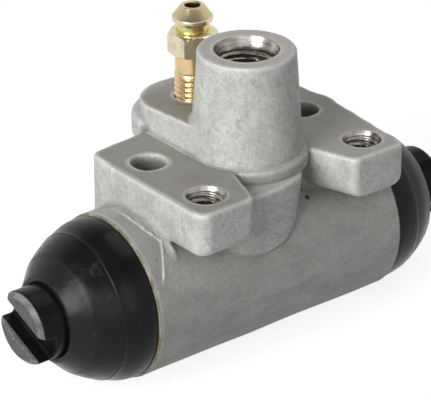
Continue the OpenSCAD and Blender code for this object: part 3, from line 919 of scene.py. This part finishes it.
def make_spring():
    """Coil spring in two halves, each of which runs from the middle to one seal."""
    coil_r, wire_r, turns = 4.45, 0.55, 8
    lower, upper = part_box("return_spring")
    halves = (
        (LEFT, "spring_left_half", "left_seal", lower.x / MM),
        (RIGHT, "spring_right_half", "right_seal", upper.x / MM),
    )
    round_wire = np.arange(12) * math.pi / 6
    for side, name, seal, end in halves:
        half = abs(end - BARREL_MID) - wire_r
        rows = []
        for t in np.linspace(0, 1, 24 * turns // 2):
            angle = side * t * math.pi * turns
            rise = half * min(t / 0.88, 1.0)
            outward = np.array([0.0, math.cos(angle), math.sin(angle)])
            middle = np.array([side * rise, 0.0, 0.0]) + coil_r * outward
            section = np.outer(np.cos(round_wire), outward) + np.outer(np.sin(round_wire), (1.0, 0, 0))
            rows.append(middle + wire_r * section)
        points, faces = lofted(rows)
        points = points + np.array([BARREL_MID, BARREL_Y, BARREL_Z])
        spring = piece(name, [(points, faces)], None, 60)
        spring.data.materials.append(SPRING_STEEL)
        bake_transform(spring)
        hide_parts("return_spring")


def finish_nodes():
    """Materials of the CAD nodes that are shown as they are."""
    for name, material in (
        ("left_piston_cup", SEAL_RUBBER), ("right_piston_cup", SEAL_RUBBER),
        ("left_cup_expander", PRESSED_STEEL), ("right_cup_expander", PRESSED_STEEL),
    ):
        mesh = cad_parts[name].data
        mesh.materials.clear()
        mesh.materials.append(material)


make_body()
make_bleeder()
make_boot(LEFT, "left_boot", "left_dust_boot")
make_boot(RIGHT, "right_boot", "right_dust_boot", 1.1)
make_piston(LEFT, "left_plunger_piston", "left_piston", "left_plunger")
make_piston(RIGHT, "right_plunger_piston", "right_piston", "right_plunger")
make_spring()
finish_nodes()


# Floor, light and camera

FLOOR_Z = BARREL_Z - BARREL_R - 0.35


def seen_directly(nodes, links):
    """1 for rays that show a surface straight, in a reflection or through glass."""
    path = nodes.new("ShaderNodeLightPath")
    total = path.outputs["Is Camera Ray"]
    for name in ("Is Glossy Ray", "Is Transmission Ray"):
        both = nodes.new("ShaderNodeMath")
        both.operation = "MAXIMUM"
        links.new(total, both.inputs[0])
        links.new(path.outputs[name], both.inputs[1])
        total = both.outputs[0]
    return total


def make_floor():
    """Pale floor that looks white, and keeps the part's shadow."""
    half = 1.6
    mesh = bpy.data.meshes.new("floor")
    corners = [(-half, -half, 0), (half, -half, 0), (half, half, 0), (-half, half, 0)]
    mesh.from_pydata(corners, [], [(0, 1, 2, 3)])
    floor = bpy.data.objects.new("floor", mesh)
    floor.location = (0, 0, FLOOR_Z * MM)
    bpy.context.scene.collection.objects.link(floor)
    material = bpy.data.materials.new("pale_floor")
    material.use_nodes = True
    nodes, links = material.node_tree.nodes, material.node_tree.links
    nodes.clear()
    out = nodes.new("ShaderNodeOutputMaterial")
    both = nodes.new("ShaderNodeAddShader")
    paint = nodes.new("ShaderNodeBsdfDiffuse")
    paint.inputs["Color"].default_value = (0.34, 0.34, 0.34, 1)
    glow = nodes.new("ShaderNodeEmission")
    scale = nodes.new("ShaderNodeMath")
    scale.operation = "MULTIPLY"
    scale.inputs[1].default_value = 0.86
    links.new(seen_directly(nodes, links), scale.inputs[0])
    links.new(scale.outputs[0], glow.inputs["Strength"])
    links.new(paint.outputs[0], both.inputs[0])
    links.new(glow.outputs[0], both.inputs[1])
    links.new(both.outputs[0], out.inputs["Surface"])
    mesh.materials.append(material)


def make_world():
    """White studio that lights the part only a little, with a darker ceiling in its reflections."""
    world = bpy.data.worlds.new("studio")
    bpy.context.scene.world = world
    world.use_nodes = True
    nodes, links = world.node_tree.nodes, world.node_tree.links
    shade = nodes["Background"]
    shade.inputs["Color"].default_value = (1, 1, 1, 1)
    level = nodes.new("ShaderNodeMapRange")
    level.inputs["To Min"].default_value = 0.06
    links.new(seen_directly(nodes, links), level.inputs["Value"])
    place = nodes.new("ShaderNodeTexCoord")
    height = nodes.new("ShaderNodeSeparateXYZ")
    links.new(place.outputs["Generated"], height.inputs[0])
    ceiling = nodes.new("ShaderNodeMapRange")
    ceiling.inputs["From Min"].default_value = 0.5
    ceiling.inputs["From Max"].default_value = 0.85
    ceiling.inputs["To Min"].default_value = 1.0
    ceiling.inputs["To Max"].default_value = 0.25
    links.new(height.outputs[2], ceiling.inputs["Value"])
    links.new(ceiling.outputs["Result"], level.inputs["To Max"])
    links.new(level.outputs["Result"], shade.inputs["Strength"])


def make_light(name, direction, distance, size, power):
    """Round soft light that looks at the part from a direction, with lengths in metres."""
    lamp = bpy.data.lights.new(name, "AREA")
    lamp.shape = "DISK"
    lamp.size = size
    lamp.energy = power
    thing = bpy.data.objects.new(name, lamp)
    aim = Vector((0, 0.012, -0.012))
    thing.location = aim + Vector(direction).normalized() * distance
    thing.rotation_euler = (aim - thing.location).to_track_quat("-Z", "Y").to_euler()
    bpy.context.scene.collection.objects.link(thing)


def make_camera():
    """Camera at the photograph's viewing angle, place and focal length."""
    azimuth, elevation, roll = math.radians(38.40), math.radians(26.77), math.radians(-0.32)
    place = Vector((-268.24, -318.96, 203.73)) * MM
    level = math.cos(elevation)
    back = Vector((-math.sin(azimuth) * level, -math.cos(azimuth) * level, math.sin(elevation)))
    right = Vector((0, 0, 1)).cross(back).normalized()
    up = back.cross(right)
    turn = Matrix((right, up, back)).transposed() @ Matrix.Rotation(roll, 3, "Z")
    camera = bpy.data.cameras.new("camera")
    camera.sensor_fit = "HORIZONTAL"
    camera.sensor_width = 36.0
    camera.lens = 224.59
    camera.clip_start = 0.01
    thing = bpy.data.objects.new("camera", camera)
    thing.matrix_world = Matrix.Translation(place) @ turn.to_4x4()
    bpy.context.scene.collection.objects.link(thing)
    bpy.context.scene.camera = thing


make_floor()
make_world()
make_light("key_left", (-0.95, -0.22, 0.42), 0.7, 0.45, 4.1)
make_light("fill_front", (-0.45, -0.85, 0.35), 0.9, 0.7, 1.05)
make_light("fill_top", (0.4, 0.1, 1.0), 0.9, 0.7, 1.5)
make_camera()
bpy.context.scene.view_settings.view_transform = "Standard"
